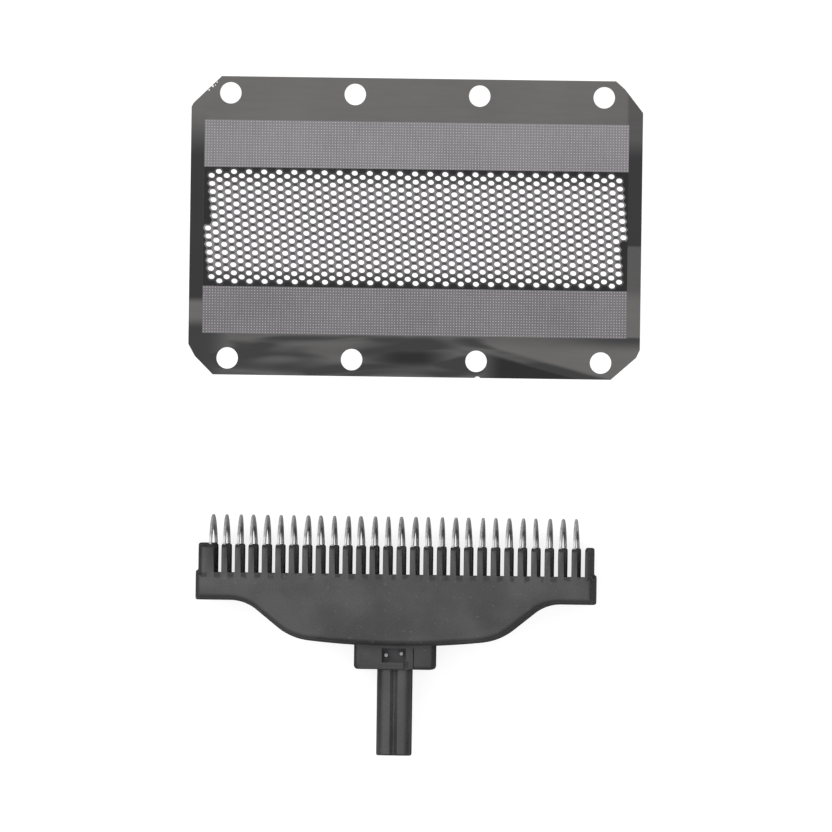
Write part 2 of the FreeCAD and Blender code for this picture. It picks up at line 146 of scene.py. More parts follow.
# Foil: one sheet of nickel, 0.08 mm thick, grown on a form with all its holes in it. A honeycomb of
# open holes runs along the middle, two bands of much finer holes lie beside it, and the plain long
# edges have four pin holes each. The corners are nipped off. All sizes here are in millimetres.
foil_low, foil_high = [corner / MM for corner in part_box("foil")]
foil_middle = (foil_low + foil_high) / 2
foil_half_length = (foil_high.x - foil_low.x) / 2
foil_half_width = (foil_high.y - foil_low.y) / 2
foil_thickness = foil_high.z - foil_low.z
column_step = 0.7556
hole_step = 0.8100
hole_sides = 12
column_lean = math.radians(4.96)
hole_half_width = 0.310
hole_half_height = 0.243
first_column_place = -0.408
first_row_place = 0.227
first_column = -32
first_row = -9
column_pairs = 32
row_count = 18
field_reach = 20.83
field_low = -5.54
field_high = 5.61
field_shift = -0.11
honeycomb_edge = 5.93
band_inner = 5.96
band_outer = 10.67
band_half_length = 21.234
band_cell = 0.28125
band_bar_half = 0.112
flange_steps = 5
pins_in_row = 4
pin_hole_radius = 1.075
pin_hole_spacing = 12.46
pin_row_half = 13.26
ripple_size = 8.0
ripple_height = 0.16
corner_cuts = {
    (-1, 1): ((2.95, 44), (2.25, 60)),
    (1, 1): ((2.55, 41), (2.75, 52)),
    (-1, -1): ((2.48, 45), (2.15, 61)),
    (1, -1): ((2.71, 41.5), (1.92, 65)),
}
nicks = (
    (6.38, -15.12, 0.36), (-20.08, 14.31, 0.07), (-20.24, 14.02, 0.06), (-20.50, 13.90, 0.10),
    (-20.86, 13.52, 0.08),
)

# How close places have to lie to count as one: in tests, in coarser tests, and in three single steps
SAME = 0.001
NEAR = 0.01
cut_merge = 1e-5
bridge_merge = 0.0005
foil_merge = 0.005

# All pieces: the angle up to which faces are shaded as one, the size and share of the flecks, the part
# of slow clouding in the grain, and where shades and roughness begin and end in it
smooth_angle = math.radians(32)
fleck_scale = 2600
fleck_stops = (0.74, 0.80)
cloud_share = 0.5
shade_stops = (0.34, 0.66)
roughness_stops = (0.3, 0.7)
roughness_spread = 0.06

# Areas of the foil painted dark as a painted reflection, paler areas among them, the darker lower band,
# the rubbed middle of the bars and the painted shade between holes, each with the two places between which
# it fades in. A third and a fourth number are the most and the least that it counts for.
streak_stretch = (0.085, 0.50, 1)
streak_turn = math.radians(-4)
streak_fade = (0.36, 0.60, 0.80, 0.22)
wedge_turn = math.radians(14.5)
wedge_rim = (-9.9, -9.2)
right_pool_rim = (-9.8, -10.5)
wedge_start = (5.0, 9.0)
middle_pool_left = (-9.0, -1.0)
middle_pool_right = (6.5, 0.5)
middle_pool_top = (-11.0, -12.8)
middle_pool_foot = (-15.0, -13.2)
low_edge_top = (-10.5, -11.2)
left_end_rim = (-20.5, -21.4, 0.90)
left_end_top = (12.0, 6.5)
left_end_foot = (-7.9, -7.1)
left_corner_rim = (-17.0, -21.0, 0.80)
left_corner_top = (-9.1, -10.4)
right_end_rim = (20.9, 21.3, 0.88)
right_end_top = (9.4, 7.0, 1.0, 0.45)
right_end_foot = (-1.9, -1.4)
right_end_low = (-7.2, -5.8, 0.42)
under_band_start = (12.0, 21.0, 0.75, 0.25)
under_band_top = (-10.6, -10.8)
under_band_foot = (-12.3, -10.9)
lower_band_fade = (9.5, -9.0)
rubbed_top = (5.2, 3.6)
rubbed_foot = (-5.4, -3.8)
hollow_shade_fade = (-0.25, -0.85, 0.85)


def alone(piece):
    """Make a piece the active one, with nothing else selected."""
    bpy.ops.object.select_all(action="DESELECT")
    piece.select_set(True)
    bpy.context.view_layer.objects.active = piece


def everything(part):
    return True


def edit(piece, kind, test):
    """Open a piece for editing, with only those vertices, edges or faces selected that pass a test."""
    alone(piece)
    bpy.ops.object.mode_set(mode="EDIT")
    bpy.ops.mesh.select_mode(type=kind)
    bpy.ops.mesh.select_all(action="DESELECT")
    form = bmesh.from_edit_mesh(piece.data)
    for part in {"VERT": form.verts, "EDGE": form.edges, "FACE": form.faces}[kind]:
        if test(part):
            part.select_set(True)
    form.select_flush_mode()
    bmesh.update_edit_mesh(piece.data)


def close():
    bpy.ops.object.mode_set(mode="OBJECT")


def middle(part):
    """Middle of an edge or a face."""
    if isinstance(part, bmesh.types.BMFace):
        return part.calc_center_bounds()
    return (part.verts[0].co + part.verts[1].co) / 2


def span(edge):
    """How far apart the two ends of an edge are along x, y and z."""
    return Vector([abs(step) for step in edge.verts[1].co - edge.verts[0].co])


def pull(offset):
    """Extrude what is selected by an offset."""
    bpy.ops.mesh.extrude_region_move(TRANSFORM_OT_translate={"value": offset})


def settle(piece):
    """Make a piece's place, turn and size part of its mesh."""
    alone(piece)
    bpy.ops.object.transform_apply(location=True, rotation=True, scale=True)


def array(piece, count, step):
    """Lay copies of a piece in a row."""
    alone(piece)
    row = piece.modifiers.new("row", "ARRAY")
    row.count = count
    row.use_relative_offset = False
    row.use_constant_offset = True
    row.constant_offset_displace = step
    bpy.ops.object.modifier_apply(modifier=row.name)


def join(piece, *others):
    alone(piece)
    for other in others:
        other.select_set(True)
    bpy.ops.object.join()


def cut_with(piece, tool, operation="DIFFERENCE"):
    """Take a tool shape away from a piece, or add it, and remove the tool."""
    alone(piece)
    step = piece.modifiers.new("cut", "BOOLEAN")
    step.operation = operation
    step.solver = "EXACT"
    step.object = tool
    bpy.ops.object.modifier_apply(modifier=step.name)
    bpy.data.objects.remove(tool)


def trim(piece, place, outward, clear=True):
    """Cut a piece along a plane, given by a place and an outward direction, and clear what is beyond."""
    edit(piece, "VERT", everything)
    bpy.ops.mesh.bisect(plane_co=place, plane_no=outward, clear_outer=clear, threshold=cut_merge)
    close()


def finish_piece(piece, name, slot, *cad_nodes):
    """Name a piece, bring it from millimetres to metres and tie it to the frame."""
    piece.name = name
    piece.data.name = name
    piece.scale = (MM, MM, MM)
    settle(piece)
    bpy.ops.object.shade_smooth_by_angle(angle=smooth_angle)
    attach(piece, "root")
    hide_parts(*cad_nodes)


def grain_group():
    """Fine grain, slow clouding and scattered flecks of a surface, from its own place on the piece."""
    group = bpy.data.node_groups.new("surface_grain", "ShaderNodeTree")
    for name in ("Grain Scale", "Cloud Scale", "Fleck Scale"):
        group.interface.new_socket(name, in_out="INPUT", socket_type="NodeSocketFloat")
    group.interface.new_socket("Stretch", in_out="INPUT", socket_type="NodeSocketVector")
    for name in ("Grain", "Cloud", "Flecks"):
        group.interface.new_socket(name, in_out="OUTPUT", socket_type="NodeSocketFloat")
    nodes, links = group.nodes, group.links
    given = nodes.new("NodeGroupInput")
    place = nodes.new("ShaderNodeTexCoord")
    stretched = nodes.new("ShaderNodeVectorMath")
    stretched.operation = "MULTIPLY"
    links.new(place.outputs["Object"], stretched.inputs[0])
    links.new(given.outputs["Stretch"], stretched.inputs[1])
    grain = nodes.new("ShaderNodeTexNoise")
    grain.inputs["Detail"].default_value = 3
    grain.inputs["Roughness"].default_value = 0.6
    links.new(stretched.outputs[0], grain.inputs["Vector"])
    links.new(given.outputs["Grain Scale"], grain.inputs["Scale"])
    cloud = nodes.new("ShaderNodeTexNoise")
    cloud.inputs["Detail"].default_value = 2
    links.new(place.outputs["Object"], cloud.inputs["Vector"])
    links.new(given.outputs["Cloud Scale"], cloud.inputs["Scale"])
    dots = nodes.new("ShaderNodeTexNoise")
    dots.inputs["Detail"].default_value = 0
    links.new(place.outputs["Object"], dots.inputs["Vector"])
    links.new(given.outputs["Fleck Scale"], dots.inputs["Scale"])
    few = nodes.new("ShaderNodeMapRange")
    few.inputs["From Min"].default_value = fleck_stops[0]
    few.inputs["From Max"].default_value = fleck_stops[1]
    links.new(dots.outputs["Fac"], few.inputs[0])
    made = nodes.new("NodeGroupOutput")
    links.new(grain.outputs["Fac"], made.inputs["Grain"])
    links.new(cloud.outputs["Fac"], made.inputs["Cloud"])
    links.new(few.outputs[0], made.inputs["Flecks"])
    return group


surface_grain = grain_group()


def finish_of(
    name, colour, roughness, metallic, grain_scale, cloud_scale, tone, bump, stretch=(1, 1, 1)
):
    """A material whose colour and roughness vary with grain and clouding, over a fine bump."""
    material = bpy.data.materials.new(name)
    material.use_nodes = True
    nodes, links = material.node_tree.nodes, material.node_tree.links
    shader = nodes["Principled BSDF"]
    shader.inputs["Metallic"].default_value = metallic
    grain = nodes.new("ShaderNodeGroup")
    grain.name = "grain"
    grain.node_tree = surface_grain
    grain.inputs["Grain Scale"].default_value = grain_scale
    grain.inputs["Cloud Scale"].default_value = cloud_scale
    grain.inputs["Fleck Scale"].default_value = fleck_scale
    grain.inputs["Stretch"].default_value = stretch
    mixed = nodes.new("ShaderNodeMath")
    mixed.operation = "MULTIPLY_ADD"
    mixed.inputs[1].default_value = 1 - cloud_share
    links.new(grain.outputs["Grain"], mixed.inputs[0])
    cloud_part = nodes.new("ShaderNodeMath")
    cloud_part.operation = "MULTIPLY"
    cloud_part.inputs[1].default_value = cloud_share
    links.new(grain.outputs["Cloud"], cloud_part.inputs[0])
    links.new(cloud_part.outputs[0], mixed.inputs[2])
    ramp = nodes.new("ShaderNodeValToRGB")
    for stop, place, share in zip(ramp.color_ramp.elements, shade_stops, (1 - tone, 1 + tone)):
        stop.position = place
        stop.color = (*[channel * share for channel in colour], 1)
    links.new(mixed.outputs[0], ramp.inputs[0])
    links.new(ramp.outputs["Color"], shader.inputs["Base Color"])
    spread = nodes.new("ShaderNodeMapRange")
    spread.inputs["From Min"].default_value = roughness_stops[0]
    spread.inputs["From Max"].default_value = roughness_stops[1]
    spread.inputs["To Min"].default_value = roughness - roughness_spread
    spread.inputs["To Max"].default_value = roughness + roughness_spread
    links.new(mixed.outputs[0], spread.inputs[0])
    links.new(spread.outputs[0], shader.inputs["Roughness"])
    relief = nodes.new("ShaderNodeBump")
    relief.inputs["Strength"].default_value = 1
    relief.inputs["Distance"].default_value = bump
    links.new(grain.outputs["Grain"], relief.inputs["Height"])
    links.new(relief.outputs["Normal"], shader.inputs["Normal"])
    return material


def blend_colour(material, factor, colour):
    """Blend a material's base colour to another colour by a factor that varies over the surface."""
    nodes, links = material.node_tree.nodes, material.node_tree.links
    target = nodes["Principled BSDF"].inputs["Base Color"]
    blend = nodes.new("ShaderNodeMix")
    blend.data_type = "RGBA"
    links.new(target.links[0].from_socket, blend.inputs["A"])
    blend.inputs["B"].default_value = (*colour, 1)
    links.new(factor, blend.inputs["Factor"])
    links.new(blend.outputs["Result"], target)


def place_on(material, origin):
    """Place on a piece in millimetres from an origin: the whole of it, and its parts along x and y."""
    nodes, links = material.node_tree.nodes, material.node_tree.links
    place = nodes.new("ShaderNodeTexCoord")
    centred = nodes.new("ShaderNodeMapping")
    centred.inputs["Scale"].default_value = (1 / MM, 1 / MM, 1 / MM)
    centred.inputs["Location"].default_value = (-origin[0], -origin[1], 0)
    links.new(place.outputs["Object"], centred.inputs["Vector"])
    parts = nodes.new("ShaderNodeSeparateXYZ")
    links.new(centred.outputs[0], parts.inputs[0])
    return centred.outputs[0], parts.outputs["X"], parts.outputs["Y"]


def ease(material, source, start, end, most=1.0, least=0.0):
    """From the least at one value of the source to the most at another, smoothly."""
    step = material.node_tree.nodes.new("ShaderNodeMapRange")
    step.interpolation_type = "SMOOTHSTEP"
    step.inputs["From Min"].default_value = min(start, end)
    step.inputs["From Max"].default_value = max(start, end)
    step.inputs["To Min"].default_value = least if start < end else most
    step.inputs["To Max"].default_value = most if start < end else least
    material.node_tree.links.new(source, step.inputs[0])
    return step.outputs[0]


def work(material, operation, first, *others):
    """Work out one value of a material from two or more others, taken in turn."""
    for other in others:
        result = material.node_tree.nodes.new("ShaderNodeMath")
        result.operation = operation
        material.node_tree.links.new(first, result.inputs[0])
        material.node_tree.links.new(other, result.inputs[1])
        first = result.outputs[0]
    return first


def patch(material, *edges):
    """An area with soft edges, each given by a value that varies over the surface and where it fades."""
    return work(material, "MULTIPLY", *[ease(material, source, *fade) for source, fade in edges])


def wave(material, place, direction, start):
    """A wave over a surface, between -1 and 1, that is 1 at a start."""
    nodes, links = material.node_tree.nodes, material.node_tree.links
    turned = nodes.new("ShaderNodeVectorMath")
    turned.operation = "DOT_PRODUCT"
    turned.inputs[1].default_value = direction
    links.new(place, turned.inputs[0])
    moved = nodes.new("ShaderNodeMath")
    moved.operation = "SUBTRACT"
    moved.inputs[1].default_value = Vector(direction).dot(Vector(start))
    links.new(turned.outputs["Value"], moved.inputs[0])
    swing = nodes.new("ShaderNodeMath")
    swing.operation = "COSINE"
    links.new(moved.outputs[0], swing.inputs[0])
    return swing.outputs[0]


rolled_nickel = finish_of(
    "rolled_nickel", colour=(0.102, 0.0995, 0.098), roughness=0.34, metallic=1, grain_scale=2500,
    cloud_scale=120, tone=0.08, bump=0.002 * MM, stretch=(0.12, 1, 1),
)
etched_nickel = finish_of(
    "etched_nickel", colour=(0.228, 0.217, 0.228), roughness=0.55, metallic=1, grain_scale=3200,
    cloud_scale=150, tone=0.17, bump=0.004 * MM, stretch=(1, 0.22, 1),
)
rim_nickel = finish_of(
    "rim_nickel", colour=(0.024, 0.024, 0.025), roughness=0.40, metallic=1, grain_scale=5000,
    cloud_scale=150, tone=0.2, bump=0.002 * MM,
)
bar_nickel = finish_of(
    "bar_nickel", colour=(0.056, 0.054, 0.056), roughness=0.42, metallic=1, grain_scale=5000,
    cloud_scale=150, tone=0.3, bump=0.002 * MM,
)
dark_reflection_nickel = (0.022, 0.022, 0.023)
lower_band_nickel = (0.180, 0.170, 0.180)
rubbed_nickel = (0.175, 0.169, 0.175)
hollow_shade_nickel = (0.040, 0.039, 0.040)

# The honeycomb starts as one six-sided cell round a hole, laid out in staggered columns that lean a little
bpy.ops.mesh.primitive_circle_add(vertices=6, radius=1, rotation=(0, 0, math.pi / 2))
foil = bpy.context.object
settle(foil)
foil.scale = (2 * column_step / 3, hole_step / math.sqrt(3), 1)
settle(foil)
bpy.ops.mesh.primitive_circle_add(vertices=hole_sides, radius=1, fill_type="NGON")
hole = bpy.context.object
hole.scale = (hole_half_width, hole_half_height, 1)
settle(hole)
join(foil, hole)
edit(foil, "VERT", everything)
bpy.ops.mesh.bridge_edge_loops()
close()
array(foil, 2, (column_step, hole_step / 2, 0))
array(foil, column_pairs, (2 * column_step, 0, 0))
array(foil, row_count, (0, hole_step, 0))
start = Vector((
    first_column_place + first_column * column_step, first_row_place + first_row * hole_step, 0
))
lean = Matrix.Identity(4)
lean[0][1] = -math.tan(column_lean)
foil.data.transform(lean @ Matrix.Translation(start))
edit(foil, "VERT", everything)
bpy.ops.mesh.remove_doubles(threshold=NEAR)
close()
for side in (1, -1):
    trim(foil, (side * foil_half_length, 0, 0), (side, 0, 0))
    trim(foil, (0, side * honeycomb_edge, 0), (0, side, 0))
    trim(foil, (side * band_half_length, 0, 0), (1, 0, 0), clear=False)

ETCHED, RIM, BARS = range(1, 4)
for finish in (rolled_nickel, etched_nickel, rim_nickel, bar_nickel):
    foil.data.materials.append(finish)


def is_open_hole(cell):
    centre = middle(cell)
    in_field = abs(centre.x) < field_reach and field_low < centre.y < field_high
    return in_field and len(cell.verts) == hole_sides


# The bars between open holes get a finish of their own, and then the holes are opened
edit(foil, "FACE", is_open_hole)
bpy.ops.mesh.select_more()
foil.active_material_index = BARS
bpy.ops.object.material_slot_assign()
close()
edit(foil, "FACE", is_open_hole)
bpy.ops.mesh.delete(type="FACE")
close()

# One band of fine holes with the plain edge beyond it, then the same on the other side
band_columns = round(2 * band_half_length / band_cell)
band_rows = round((band_outer - band_inner) / band_cell)
bpy.ops.mesh.primitive_grid_add(
    x_subdivisions=band_columns, y_subdivisions=band_rows, size=1,
    location=(0, (band_inner + band_outer) / 2, 0),
)
band = bpy.context.object
band.scale = (2 * band_half_length, band_outer - band_inner, 1)
settle(band)
edit(band, "FACE", everything)
bpy.ops.mesh.inset(thickness=band_bar_half, use_individual=True, use_boundary=True)
bpy.ops.mesh.delete(type="FACE")
close()
for side in (1, -1):
    edit(band, "EDGE", lambda part: abs(middle(part).x - side * band_half_length) < NEAR)
    pull((side * (foil_half_length - band_half_length), 0, 0))
    close()
edit(band, "EDGE", lambda part: abs(middle(part).y - band_outer) < NEAR)
for step in range(flange_steps):
    pull((0, (foil_half_width - band_outer) / flange_steps, 0))
close()
band.data.materials.append(rolled_nickel)
alone(band)
bpy.ops.object.duplicate()
other_band = bpy.context.object
other_band.scale = (1, -1, 1)
settle(other_band)
join(foil, band, other_band)
for side in (1, -1):
    edges = (side * honeycomb_edge, side * band_inner)
    edit(foil, "EDGE", lambda part: span(part).y < bridge_merge
         and min(abs(part.verts[0].co.y - edge) for edge in edges) < bridge_merge)
    bpy.ops.mesh.bridge_edge_loops()
    close()
edit(foil, "VERT", everything)
bpy.ops.mesh.remove_doubles(threshold=foil_merge)
close()
edit(foil, "FACE", lambda part: part.normal.z < 0)
bpy.ops.mesh.flip_normals()
close()
for face in foil.data.polygons:
    across = abs(face.center.y)
    along = abs(face.center.x)
    if band_inner < across < band_outer and along < band_half_length:
        face.material_index = ETCHED
    elif across < band_inner and along < band_half_length and face.material_index != BARS:
        face.material_index = RIM

# The holes and the bands lie a little below the middle of the sheet
edit(foil, "VERT", lambda part: abs(part.co.y) < band_outer + NEAR)
bpy.ops.transform.translate(value=(0, field_shift, 0))
close()

# The corners are nipped off by hand, so no two are alike
for (side, end), cuts in corner_cuts.items():
    for reach, angle in cuts:
        turn = math.radians(angle)
        outward = Vector((side * math.sin(turn), end * math.cos(turn), 0))
        corner = Vector((
            side * (foil_half_length - reach / 2), end * (foil_half_width - reach / 2), 0
        ))
        trim(foil, corner, outward)

alone(foil)
wall = foil.modifiers.new("wall", "SOLIDIFY")
wall.thickness = foil_thickness
wall.offset = 1
bpy.ops.object.modifier_apply(modifier=wall.name)

# Pin holes and a few nicks in the rim, then the slight ripple of a thin sheet that has been handled
bpy.ops.mesh.primitive_cylinder_add(vertices=48, radius=pin_hole_radius, depth=1)
pins = bpy.context.object
pins.location = (-(pins_in_row - 1) / 2 * pin_hole_spacing, -pin_row_half, 0)
settle(pins)
array(pins, pins_in_row, (pin_hole_spacing, 0, 0))
array(pins, 2, (0, 2 * pin_row_half, 0))
cut_with(foil, pins)
for along, across, radius in nicks:
    bpy.ops.mesh.primitive_cylinder_add(vertices=12, radius=radius, depth=1, location=(along, across, 0))
    cut_with(foil, bpy.context.object)
alone(foil)
swell = bpy.data.textures.new("sheet_ripple", "CLOUDS")
swell.noise_scale = ripple_size
swell.noise_depth = 1
ripple = foil.modifiers.new("ripple", "DISPLACE")
ripple.texture = swell
ripple.texture_coords = "LOCAL"
ripple.direction = "Z"
ripple.mid_level = 0
ripple.strength = ripple_height
bpy.ops.object.modifier_apply(modifier=ripple.name)
foil.location = (foil_middle.x, foil_middle.y, foil_low.z)
settle(foil)

# Painted dark reflection: the ends and the lower edge of the sheet are painted dark, with streaks along
# it and two dark pools, and a pale wedge that widens towards the right
place, along, across = place_on(rolled_nickel, foil_middle)
nodes, links = rolled_nickel.node_tree.nodes, rolled_nickel.node_tree.links
long_view = nodes.new("ShaderNodeMapping")
long_view.inputs["Scale"].default_value = streak_stretch
long_view.inputs["Rotation"].default_value = (0, 0, streak_turn)
links.new(place, long_view.inputs["Vector"])
streaks = nodes.new("ShaderNodeTexNoise")
streaks.inputs["Scale"].default_value = 1.0
streaks.inputs["Detail"].default_value = 1.5
streaks.inputs["Distortion"].default_value = 0.9
links.new(long_view.outputs[0], streaks.inputs["Vector"])
slanted_view = nodes.new("ShaderNodeMapping")
slanted_view.inputs["Rotation"].default_value = (0, 0, wedge_turn)
links.new(place, slanted_view.inputs["Vector"])
slanted = nodes.new("ShaderNodeSeparateXYZ")
links.new(slanted_view.outputs[0], slanted.inputs[0])
up_slope = slanted.outputs["Y"]
streaked = ease(rolled_nickel, streaks.outputs["Fac"], *streak_fade)
wedge = patch(rolled_nickel, (up_slope, wedge_rim), (along, wedge_start))
right_pool = patch(rolled_nickel, (up_slope, right_pool_rim), (along, wedge_start))
middle_pool = patch(
    rolled_nickel, (along, middle_pool_left), (along, middle_pool_right),
    (across, middle_pool_top), (across, middle_pool_foot),
)
low_edge = work(
    rolled_nickel, "MULTIPLY", work(rolled_nickel, "MAXIMUM", streaked, right_pool, middle_pool),
    ease(rolled_nickel, wedge, 1.0, 0.0), ease(rolled_nickel, across, *low_edge_top),
)
left_end = patch(rolled_nickel, (along, left_end_rim), (across, left_end_top), (across, left_end_foot))
left_corner = patch(rolled_nickel, (along, left_corner_rim), (across, left_corner_top))
right_upper = patch(rolled_nickel, (across, right_end_foot), (across, right_end_top))
right_lower = ease(rolled_nickel, across, *right_end_low)
right_end = work(
    rolled_nickel, "MULTIPLY", work(rolled_nickel, "MAXIMUM", right_upper, right_lower),
    ease(rolled_nickel, along, *right_end_rim),
)
under_band = patch(
    rolled_nickel, (along, under_band_start), (across, under_band_top), (across, under_band_foot)
)
# Together these areas are the painted dark reflection on the plain sheet
painted_dark_reflection = work(rolled_nickel, "MAXIMUM", low_edge, left_end, left_corner, right_end, under_band)
blend_colour(rolled_nickel, painted_dark_reflection, dark_reflection_nickel)
across = place_on(etched_nickel, foil_middle)[2]
blend_colour(etched_nickel, ease(etched_nickel, across, *lower_band_fade), lower_band_nickel)

# The bars between the holes are polished paler in the middle of the field, where they rub on the blades,
# and between each hole and the next one in its column the bar is painted dark: painted shade of a hollow
place, _, across = place_on(bar_nickel, foil_middle)
rubbed = patch(bar_nickel, (across, rubbed_top), (across, rubbed_foot))
blend_colour(bar_nickel, rubbed, rubbed_nickel)
first_hole = (
    first_column_place - math.tan(column_lean) * first_row_place, first_row_place + field_shift, 0
)
column_turn = math.pi / column_step
column_wave = wave(bar_nickel, place, (column_turn, column_turn * math.tan(column_lean), 0), first_hole)
row_wave = wave(bar_nickel, place, (0, 2 * math.pi / hole_step, 0), first_hole)
hollow_shade = ease(bar_nickel, work(bar_nickel, "MULTIPLY", column_wave, row_wave), *hollow_shade_fade)
blend_colour(bar_nickel, hollow_shade, hollow_shade_nickel)
finish_piece(foil, "foil_sheet", "foil_metal", "foil")


# Blade carrier: one black moulding. Its body has a curved belly and two rows of teeth with a trough
# between them, a collar stands under the belly, and the drive stem with its groove hangs from that.
carrier_low, carrier_high = [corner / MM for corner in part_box("blade_carrier")]
stem_axis = (carrier_low.x + carrier_high.x) / 2
half_depth = (carrier_high.z - carrier_low.z) / 2
tooth_top = carrier_high.y
slot_bottom = tooth_top - 2.95
half_foot = (carrier_high.x - carrier_low.x) / 2
foot_step = 0.25
half_comb = half_foot - foot_step
corner_reach = half_comb - 0.5
step_level = slot_bottom + 0.15
under_level = slot_bottom - 2.75
belly_level = under_level - 4.4
shoulder_reach = 16.5
shoulder_slope = math.radians(39)
shoulder_radius = 4.2
bend_radius = 6.0
belly_radius = 80.0
parting_half = 1.5
draft = 0.18
rim_rounding = 0.52
top_share = 0.85
corner_share = 0.45
tooth_rounding = 0.07
slot_width = 0.744
blade_pitch = 1.344
blade_count = 28
end_block = 1.70
slots_left = carrier_low.x + foot_step + end_block - stem_axis
trough_half_depth = 2.788
seat_width = 0.36
seat_reach = 3.488
seat_half_depth = 0.41
seat_length = 2.21
collar_half_width = 4.0
collar_half_depth = 3.0
collar_level = belly_level - 2.3
collar_rounding = 0.40
stem_half_width = 1.725
stem_half_depth = 2.0
stem_rounding = 0.85
stem_end_rounding = 0.18
socket_radius = 1.0
socket_depth = 7.0
groove_half_width = 0.38
groove_floor_share = 0.2
groove_depth = 0.5
window_half_width = 1.2
window_high = belly_level - 0.2
window_low = belly_level - 1.6
window_depth = 1.0
channel_past = 0.1
channels = ((0.95, 1.45, window_low + channel_past, 0.6), (1.90, 2.02, window_high, 0.3))
recess_half_width = 2.1
pip_radius = 0.19
pip_sink = 0.1
pip_rounding = 0.08
pip_show = 0.3
pip_places = ((-0.77, belly_level - 0.88), (0.75, belly_level - 0.72))

# An edge is long beyond LONG, and a cutting shape stands out of what it cuts by PAST. A face looks along
# an axis if more than FACING of its normal lies along it, and away from it if less than SIDEWAYS does.
LONG = 1
PAST = 1
FACING = 0.9
SIDEWAYS = 0.3

# Painted shade under the slots and the polish of the moulding fade like the areas of the foil, from the
# foot of the slots down
slot_shade_top = (0.05, -0.10)
slot_shade_foot = (-0.80, -0.25)
slot_shade_beat = (-0.4, 0.6)
slot_shade_blots = (0.36, 0.50)
polish_fade = (0.30, 0.70, 0.66, 0.34)
stem_polish = (-11.0, -17.5, 0.35)
collar_top = (-6.9, -7.3)
collar_foot = (-9.6, -9.4)
collar_polish = (1.0, 0.0, 1.0, 0.25)

# Half of the front outline, drawn from the lowest point of the belly round to the top of the comb
slope_cosine, slope_sine = math.cos(shoulder_slope), math.sin(shoulder_slope)
centre_reach = belly_radius * slope_cosine - bend_radius - shoulder_radius * (1 - slope_cosine)
centre_reach -= (under_level - belly_level) * slope_cosine - shoulder_reach * slope_sine
belly_turn = shoulder_slope - math.acos(centre_reach / (belly_radius - bend_radius))
belly_centre = Vector((0, belly_level + belly_radius, 0))
belly_end = Vector((math.sin(belly_turn), -math.cos(belly_turn), 0))
bend_centre = belly_centre + belly_end * (belly_radius - bend_radius)
shoulder_centre = Vector((shoulder_reach, under_level - shoulder_radius, 0))
outward = Vector((slope_sine, -slope_cosine, 0))
slope_run = (shoulder_centre - outward * shoulder_radius) - (bend_centre + outward * bend_radius)

bpy.ops.mesh.primitive_plane_add(size=1, location=(0, 0, 0))
carrier = bpy.context.object
edit(carrier, "VERT", everything)
bpy.ops.mesh.merge(type="CENTER")
bpy.ops.transform.translate(value=(0, belly_level, 0))
bpy.ops.mesh.spin(steps=10, angle=-belly_turn, center=belly_centre, axis=(0, 0, 1))
bpy.ops.mesh.spin(steps=10, angle=belly_turn - shoulder_slope, center=bend_centre, axis=(0, 0, 1))
pull(slope_run)
bpy.ops.mesh.spin(steps=10, angle=shoulder_slope, center=shoulder_centre, axis=(0, 0, 1))
pull((half_foot - shoulder_reach, 0, 0))
pull((0, step_level - under_level, 0))
pull((half_comb - half_foot, 0, 0))
pull((0, tooth_top - step_level, 0))
pull((-half_comb, 0, 0))
close()
alone(carrier)
other_half = carrier.modifiers.new("other_half", "MIRROR")
other_half.use_axis = (True, False, False)
other_half.merge_threshold = SAME
bpy.ops.object.modifier_apply(modifier=other_half.name)
edit(carrier, "VERT", everything)
bpy.ops.mesh.remove_doubles(threshold=SAME)
bpy.ops.mesh.edge_face_add()
bpy.ops.mesh.select_all(action="SELECT")
bpy.ops.transform.translate(value=(0, 0, half_depth - parting_half))
pull((0, 0, 2 * parting_half))
bpy.ops.mesh.select_all(action="SELECT")
bpy.ops.mesh.normals_make_consistent(inside=False)
close()

# The mould's draft leans the walls in from the parting band, and the rims are rounded
edit(carrier, "FACE", lambda part: abs(part.normal.z) > FACING)
bpy.ops.mesh.inset(thickness=draft, depth=half_depth - parting_half)
close()


def on_rim(edge):
    return min(abs(end.co.z - half_depth) for end in edge.verts) > half_depth - SAME


def on_tooth_tops(edge):
    return on_rim(edge) and middle(edge).y > tooth_top - draft - NEAR


def on_corner(edge):
    return span(edge).z > LONG and abs(middle(edge).x) > corner_reach


for test, weight in ((on_rim, 1), (on_tooth_tops, top_share - 1), (on_corner, corner_share)):
    edit(carrier, "EDGE", test)
    bpy.ops.transform.edge_bevelweight(value=weight)
    close()
alone(carrier)
rounding = carrier.modifiers.new("rounding", "BEVEL")
rounding.limit_method = "WEIGHT"
rounding.width = rim_rounding
rounding.segments = 4
rounding.use_clamp_overlap = False
bpy.ops.object.modifier_apply(modifier=rounding.name)


def block(corner, other_corner):
    """A box between two opposite corners."""
    corner, other_corner = Vector(corner), Vector(other_corner)
    bpy.ops.mesh.primitive_cube_add(size=1, location=(corner + other_corner) / 2)
    box = bpy.context.object
    box.scale = [abs(size) for size in other_corner - corner]
    settle(box)
    return box


def round_off(piece, test, amount, segments=3):
    edit(piece, "EDGE", test)
    bpy.ops.mesh.bevel(offset=amount, segments=segments, affect="EDGES", clamp_overlap=False)
    close()


collar = block(
    (-collar_half_width, collar_level, half_depth - collar_half_depth),
    (collar_half_width, under_level, half_depth + collar_half_depth),
)
round_off(collar, lambda edge: middle(edge).y < under_level - NEAR, collar_rounding, 5)
cut_with(carrier, collar, "UNION")
stem = block(
    (-stem_half_width, carrier_low.y, half_depth - stem_half_depth),
    (stem_half_width, belly_level, half_depth + stem_half_depth),
)
round_off(stem, lambda edge: span(edge).y > LONG, stem_rounding, 6)
round_off(stem, lambda edge: middle(edge).y < carrier_low.y + SAME, stem_end_rounding)
cut_with(carrier, stem, "UNION")

